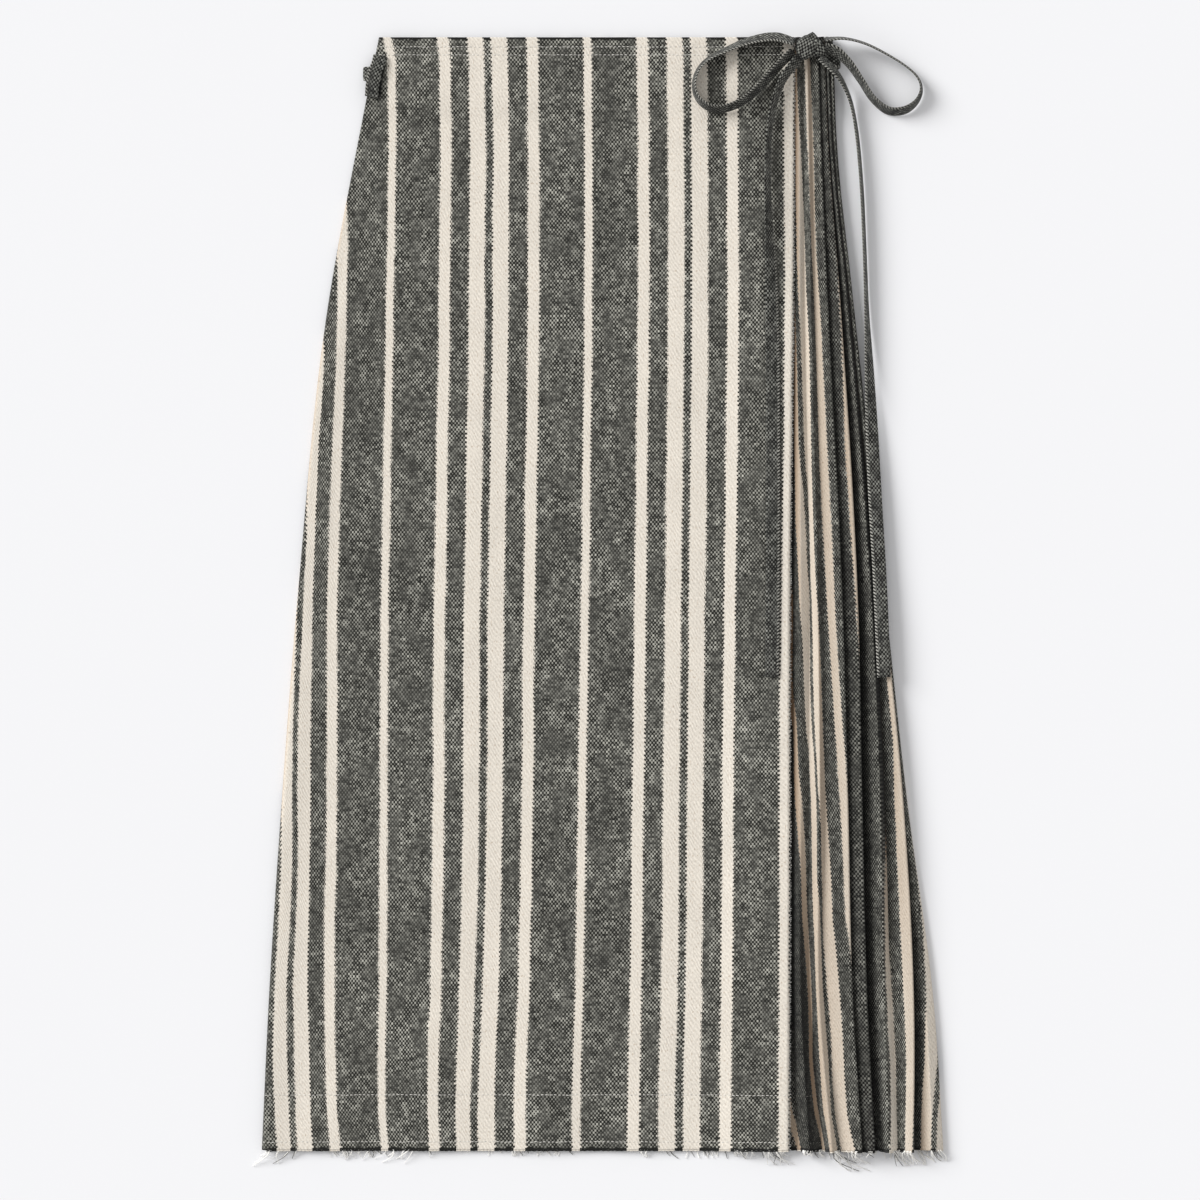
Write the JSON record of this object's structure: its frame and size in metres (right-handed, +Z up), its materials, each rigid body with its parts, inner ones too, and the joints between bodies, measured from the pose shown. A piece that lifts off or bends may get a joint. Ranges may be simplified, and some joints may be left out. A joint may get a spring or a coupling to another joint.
{
  "type": "wrap skirt",
  "caption": "Pleated wrap skirt in vertical stripes, tied in a bow at one hip, with a raw frayed hem, lying flat on its back.",
  "frame": {"origin": "centre of the whole skirt's outline, on the floor it lies on", "axes": "+Y from the hem towards the waist, +X towards the hip with the bow and the pleats, +Z up out of the front"},
  "size_m": [0.5458, 0.9118, 0.0214],
  "materials": {
    "striped_cloth": "yarn-dyed charcoal melange with ivory stripes, matte",
    "tie_cloth": "charcoal melange, folded and topstitched, matte",
    "loose_threads": "raw undyed and charcoal threads, matte"
  },
  "bodies": {
    "root": {"front_panel": "striped_cloth", "pleated_panel": "striped_cloth", "back_panel": "striped_cloth", "belt_loop": "tie_cloth", "waist_tie": "tie_cloth", "bow_knot": "tie_cloth", "bow_loop_left": "tie_cloth", "bow_loop_right": "tie_cloth", "tie_tail_left": "tie_cloth", "tie_tail_right": "tie_cloth", "fray_front": "loose_threads", "fray_pleats": "loose_threads", "fray_back": "loose_threads"}
  },
  "joints": []
}
